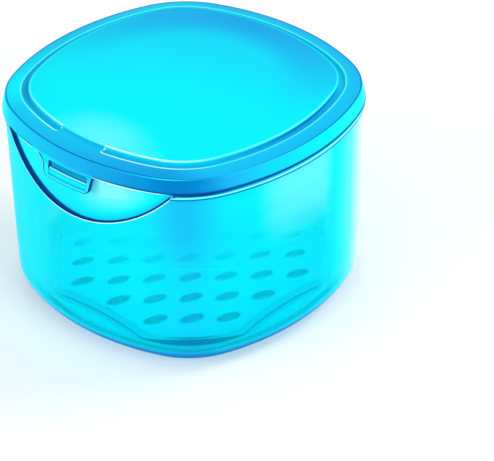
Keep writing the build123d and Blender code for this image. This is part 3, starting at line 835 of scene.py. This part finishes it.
def make_lid(look):
    """The lid's shell: crown, groove, rim and skirt."""
    ends = [side * (GROOVE_GAP_HALF - GROOVE_WIDTH / 2 + step)
            for side in (-1, 1) for step in (-0.06, 0.01, 0.06, 0.14, 0.26, 0.42, 0.62, 0.82, 0.95)]
    seams = [TAB_X + edge + step
             for edge in (-TAB_HALF - TAB_SHOULDER, TAB_HALF + TAB_LEAN) for step in (-0.02, 0.02)]
    caps = (domed(CROWN_RISE), domed(CROWN_RISE * 0.8))
    paints = (crown_tone_at, edge_tone_kept)
    return swept("lid_shell", plan_columns(ends + seams), lid_profile, caps, paints, look)


# =============================================================== latch tab
def tab_point(x, z, depth):
    """Point of the tab at a depth behind its flared front face."""
    return x, front_y(x, depth - TAB_FLARE * (SKIRT_Z - z) / (SKIRT_Z - TAB_LOW_Z)), z


def arc_points(x, z, radius, start, end, steps):
    """Points of an arc, in degrees, both ends included."""
    angles = [math.radians(mix(start, end, i / steps)) for i in range(steps + 1)]
    return [(x + radius * math.cos(a), z + radius * math.sin(a)) for a in angles]


def line_points(start, end, steps):
    """Points of a straight line, without its ends."""
    return [(mix(start[0], end[0], i / steps), mix(start[1], end[1], i / steps)) for i in range(1, steps)]


def flowing_side(steps):
    """The tab's left side: it flows out of the skirt, then drops."""
    start = Vector((TAB_X - TAB_HALF - TAB_SHOULDER, TAB_TOP_Z))
    end = Vector((TAB_X - TAB_HALF, (TAB_TOP_Z + TAB_LOW_Z) / 2))
    reach = (end - start).length
    lead = Vector((1, -0.15)).normalized() * reach
    drop = Vector((0.18, -1)).normalized() * reach
    points = []
    for i in range(1, steps):
        t = i / steps
        spot = start * (2 * t**3 - 3 * t**2 + 1) + lead * (t**3 - 2 * t**2 + t)
        spot += end * (3 * t**2 - 2 * t**3) + drop * (t**3 - t**2)
        points.append((spot.x, spot.y))
    return points


def tab_loops():
    """Outer outline and window-and-panel outline of the tab, with as many points each."""
    side, corner, run = 24, 6, 30
    left, right = TAB_X - TAB_HALF, TAB_X + TAB_HALF
    top_left, top_right = (left - TAB_SHOULDER, TAB_TOP_Z), (right + TAB_LEAN, TAB_TOP_Z)
    bend = (TAB_TOP_Z + TAB_LOW_Z) / 2
    elbow = TAB_LOW_Z + TAB_CORNER
    outer = [top_left]
    outer += flowing_side(side - 3) + [(left, bend)] + line_points((left, bend), (left, elbow), 3)
    outer += arc_points(left + TAB_CORNER, elbow, TAB_CORNER, 180, 270, corner)
    outer += line_points((left + TAB_CORNER, TAB_LOW_Z), (right - TAB_CORNER, TAB_LOW_Z), run)
    outer += arc_points(right - TAB_CORNER, elbow, TAB_CORNER, 270, 360, corner)
    outer += line_points((right, elbow), top_right, side)
    outer += [top_right]
    outer += line_points(top_right, top_left, run + 2 * corner + 1)
    r = 0.35
    left, right = WINDOW_X - WINDOW_HALF, WINDOW_X + WINDOW_HALF
    inner = [(left, WINDOW_TOP_Z - r)]
    inner += line_points((left, WINDOW_TOP_Z - r), (left, PANEL_LOW_Z + r), side)
    inner += arc_points(left + r, PANEL_LOW_Z + r, r, 180, 270, corner)
    inner += line_points((left + r, PANEL_LOW_Z), (right - r, PANEL_LOW_Z), run)
    inner += arc_points(right - r, PANEL_LOW_Z + r, r, 270, 360, corner)
    inner += line_points((right, PANEL_LOW_Z + r), (right, WINDOW_TOP_Z - r), side)
    inner += arc_points(right - r, WINDOW_TOP_Z - r, r, 0, 90, corner)
    inner += line_points((right - r, WINDOW_TOP_Z), (left + r, WINDOW_TOP_Z), run + 1)
    inner += arc_points(left + r, WINDOW_TOP_Z - r, r, 90, 180, corner)[:-1]
    return outer, inner


def leftward(x):
    """1 along the tab's left side, 0 elsewhere."""
    return ease(TAB_X - TAB_HALF + 2, TAB_X - TAB_HALF + 0.5, x)


def moved(loop, distance, keep_top):
    """Loop moved inward by a distance; the top side stays put where keep_top is set."""
    result = []
    for i, (x, z) in enumerate(loop):
        before = Vector(loop[i - 1])
        after = Vector(loop[(i + 1) % len(loop)])
        along = (after - before).normalized()
        inward = Vector((-along.y, along.x))
        reach = distance
        if keep_top:
            reach *= ease(0, 0.5, TAB_TOP_Z - z) * (1 + 0.9 * leftward(x))
        result.append((x + inward.x * reach, z + inward.y * reach))
    return result


def skirt_shade(x, z):
    """Tone of the tab's face: it carries on the skirt's painted blue shade at the right and turns cyan
    downward.
    """
    return T_CYAN + 0.17 * ease(-9, 6, x) * ease(55.2, 57.6, z)


def bar_along_front(name, profile, half, place, look):
    """Bar across the window, with closed ends, from a profile of (depth, z, tone); place turns an x, z
    and depth into a point."""
    verts, tones, faces = [], [], []
    for step in range(BAR_STEPS + 1):
        x = WINDOW_X + mix(-half, half, step / BAR_STEPS)
        for depth, z, tone in profile:
            verts.append(place(x, z, depth))
            tones.append(tone)
    size = len(profile)
    for step in range(BAR_STEPS):
        faces += ring_faces(step * size, (step + 1) * size, size)
    faces += [tuple(range(size)), tuple(range(BAR_STEPS * size, (BAR_STEPS + 1) * size))]
    return piece_from(name, verts, faces, tones, look)


def make_tab(look):
    """Frame of the latch tab, and the sunk finger panel in its lower half."""
    outer, inner = tab_loops()
    # The dark and white lines round the frame's edges and window are painted: white ones are painted
    # highlights, navy ones painted dark lines.
    stations = [
        (outer, True, 0.2, TAB_WALL, T_AZURE, T_AZURE), (outer, True, 0, TAB_WALL - 0.2, T_AZURE, T_AZURE),
        (outer, True, 0, 0.45, T_NAVY, T_WHITE), (outer, True, 0.03, 0.15, T_NAVY, T_WHITE),
        (outer, True, 0.12, 0.03, T_NAVY, T_WHITE), (outer, True, 0.18, 0, T_NAVY, T_WHITE),
        (outer, True, 0.23, 0, T_NAVY, T_NAVY), (outer, True, 0.29, 0, T_NAVY, T_NAVY),
        (outer, True, 0.35, 0, T_PALE, T_NAVY), (outer, True, 0.43, 0, T_PALE, T_NAVY),
        (outer, True, 0.49, 0, T_CYAN, T_CYAN),
        (inner, False, -0.36, 0, T_CYAN, T_CYAN), (inner, False, -0.25, 0, T_PALE, T_CYAN),
        (inner, False, -0.1, 0.03, T_NAVY, T_NAVY), (inner, False, 0, 0.14, T_NAVY, T_NAVY),
        (inner, False, 0, 0.7, T_BLUE, T_BLUE), (inner, False, 0, TAB_WALL, T_BLUE, T_BLUE),
    ]
    verts, tones, rows = [], [], []
    for loop, keep_top, distance, depth, tone, left_tone in stations:
        rows.append(len(verts))
        for x, z in moved(loop, distance, keep_top):
            verts.append(tab_point(x, z, depth))
            edge = mix(tone, left_tone, leftward(x))
            face = skirt_shade(x, z)
            if keep_top:
                lined = ease(0, 0.12, TAB_TOP_Z - z)
            else:
                lined = mix(0.25, 1, ease(-0.5, -0.1, z - WINDOW_LOW_Z))
            tones.append(mix(face, face if edge == T_CYAN else edge, lined))
    count = len(outer)
    faces = []
    for low, high in zip(rows, rows[1:] + rows[:1]):
        faces += ring_faces(low, high, count)
    frame_piece = piece_from("tab_frame", verts, faces, tones, look)
    low, high, sunk = PANEL_LOW_Z, WINDOW_LOW_Z, PANEL_DEPTH
    # The panel's blue band under the window is painted shade, and the pale line over it a painted
    # highlight.
    profile = [(TAB_WALL - 0.05, low - 0.2, T_CYAN), (sunk, low - 0.2, T_CYAN), (sunk, low + 0.1, T_AZURE),
               (sunk, low + 0.35, T_CYAN), (sunk, high - 0.62, T_CYAN), (sunk, high - 0.5, T_BLUE),
               (sunk, high - 0.38, T_BLUE), (sunk, high - 0.26, T_PALE - 0.07),
               (sunk + 0.12, high - 0.03, T_PALE - 0.07), (sunk + 0.3, high, T_CYAN),
               (TAB_WALL - 0.05, high, T_BLUE)]
    bar_along_front("tab_panel", profile, WINDOW_HALF + 0.2, tab_point, look)
    return frame_piece


# =============================================================== catch and hinge
def extruded(name, outline, low, high, edge, hole, tone, look):
    """Plate with a (y, z) outline between two x, with softened edges, and a hole if its (y, z, radius) is
    given."""
    verts, tones, loops = [], [], []
    count = len(outline)
    for x, inward in ((low, edge), (low + 0.3 * edge, 0.3 * edge), (low + edge, 0),
                      (high - edge, 0), (high - 0.3 * edge, 0.3 * edge), (high, edge)):
        loops.append(len(verts))
        for y, z in moved(outline, inward, False):
            verts.append((x, y, z))
            # Softened edges are painted paler: a painted highlight.
            tones.append(tone - 0.2 if 0 < inward < edge else tone)
    faces = []
    for a, b in zip(loops, loops[1:]):
        faces += ring_faces(a, b, count)
    if hole:
        ring_low = len(verts)
        for x in (low, high):
            for y, z in arc_points(*hole, 0, 360, BORE_STEPS)[:-1]:
                verts.append((x, y, z))
                # The hole's bore is painted darker: painted shade.
                tones.append(tone + 0.2)
        faces += ring_faces(ring_low, ring_low + BORE_STEPS, BORE_STEPS)
    mesh = bpy.data.meshes.new(name)
    mesh.from_pydata(verts, [], faces)
    work = bmesh.new()
    work.from_mesh(mesh)
    for x in (low, high):
        open_edges = [e for e in work.edges
                      if e.is_boundary and all(abs(v.co.x - x) < 1e-4 for v in e.verts)]
        bmesh.ops.triangle_fill(work, edges=open_edges, use_beauty=True)
    work.to_mesh(mesh)
    work.free()
    filled = [tuple(face.vertices) for face in mesh.polygons]
    bpy.data.meshes.remove(mesh)
    piece = piece_from(name, verts, filled, tones, look)
    for face in piece.data.polygons:
        face.use_smooth = abs(face.normal.x) < 0.98
    return piece


def dense(points, step):
    """Closed outline with extra points, so that no side is longer than a step."""
    result = []
    for i, start in enumerate(points):
        end = points[(i + 1) % len(points)]
        pieces = max(1, math.ceil(math.dist(start, end) / step))
        result += [start] + line_points(start, end, pieces)
    return result


def knuckle_arc(start, end):
    """Part of the knuckle's round outline, in (y, z), in degrees from the back."""
    return arc_points(HINGE_Y, HINGE_Z, KNUCKLE_RADIUS, start, end, KNUCKLE_STEPS)


def make_ear(side, look):
    """Hinge ear with its rib, one side of the barrel."""
    wall_y = PLAN_HALF - WALL_INSET - WALL / 2
    outline = [(wall_y, HINGE_Z - EAR_DROP)] + knuckle_arc(-30, 90) + [(wall_y, HINGE_Z + KNUCKLE_RADIUS)]
    low = BARREL_HALF + EAR_GAP if side > 0 else -BARREL_HALF - EAR_GAP - EAR_WIDTH
    name = "hinge_ear_right" if side > 0 else "hinge_ear_left"
    extruded(name, dense(outline, 1.0), low, low + EAR_WIDTH, 0.4, None, T_AZURE, look)


def make_barrel(look):
    """Barrel of the lid's hinge with its arm, and the heel that stops the lid."""
    root_y = PLAN_HALF - SKIRT_WALL / 2 - SKIRT_FLARE / 2
    outline = [(root_y, SKIRT_Z), (HINGE_Y - KNUCKLE_RADIUS, SKIRT_Z)]
    outline += knuckle_arc(180, 390) + [(root_y, RIM_Z - 0.8)]
    extruded("hinge_barrel", dense(outline, 1.0), -BARREL_HALF, BARREL_HALF, 0.3,
             (HINGE_Y, HINGE_Z, PIN_RADIUS + PIN_FIT), T_AZURE, look)
    angle = math.radians(STOP_ANGLE)
    ahead = Vector((-math.cos(angle), -math.sin(angle)))
    across = Vector((-ahead.y, ahead.x)) * HEEL_WIDTH / 2
    start = Vector((HINGE_Y, HINGE_Z)) + ahead * (PIN_RADIUS + 0.4)
    end = Vector((HINGE_Y, HINGE_Z)) + ahead * HEEL_REACH
    corners = [start - across, end - across, end + across, start + across]
    outline = dense([tuple(corner) for corner in corners], 0.8)
    extruded("hinge_heel", outline, -BARREL_HALF, BARREL_HALF, 0.25, None, T_AZURE, look)


def make_catch(look):
    """Wedge-nosed catch on the scoop's face, in the tab's window."""
    low = WINDOW_LOW_Z + 0.15
    top = low + CATCH_HEIGHT
    third = low + CATCH_HEIGHT / 3
    nose = TAB_WALL - TAB_FLARE * (SKIRT_Z - WINDOW_LOW_Z) / (SKIRT_Z - TAB_LOW_Z) + CATCH_CLEARANCE
    slope_end = nose + CATCH_HEIGHT / 2
    root = NECK_INSET + 0.4
    # The catch is painted blue and navy: painted shade in the window's gap.
    profile = [(root, low, T_BLUE), (nose + 0.1, low, T_BLUE), (nose, low + 0.1, T_BLUE),
               (nose, third, T_AZURE), (nose + 0.12, third + 0.15, T_AZURE + 0.08),
               (slope_end, top - 0.08, T_BLUE), (slope_end + 0.1, top, T_NAVY), (root, top, T_NAVY)]
    bar_along_front("catch", profile, WINDOW_HALF - CATCH_SIDE_GAP, front_point, look)


# =============================================================== dressing
make_camera()
make_studio()

shell_look = plastic("shell_plastic", painted_tone, 0.3, SHELL_COVER, SHELL_EDGES, 0.03, 0.14)
lid_look = plastic("lid_plastic_look", painted_tone, 0.3, LID_COVER, SHELL_EDGES, 0.03, 0.0)
basket_look = plastic("basket_plastic_look", basket_tone, 0.3, BASKET_COVER, BASKET_EDGES, 0.03, 0.0)
seal_look = plastic("seal_silicone_look", plain_tone(T_PALE + 0.08), 0.6, SOLID, SOLID, 0.02, 0.2)
pin_look = steel("pin_steel_look")
cup = ("cup", "cup_plastic", shell_look)
lid = ("lid_body", "lid_plastic", lid_look)
tab = ("tab", "tab_plastic", lid_look)

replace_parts(make_cup(cup), "case_body")
make_catch(cup)
for side in (-1, 1):
    make_ear(side, cup)
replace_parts(make_lid(lid), "lid")
make_barrel(lid)
tab_frame = make_tab(tab)
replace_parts(tab_frame, "latch_tab")

for name, look in (("strainer_basket", basket_look), ("lid_seal", seal_look), ("hinge_pin", pin_look)):
    for place in nodes[name].material_slots:
        place.material = look
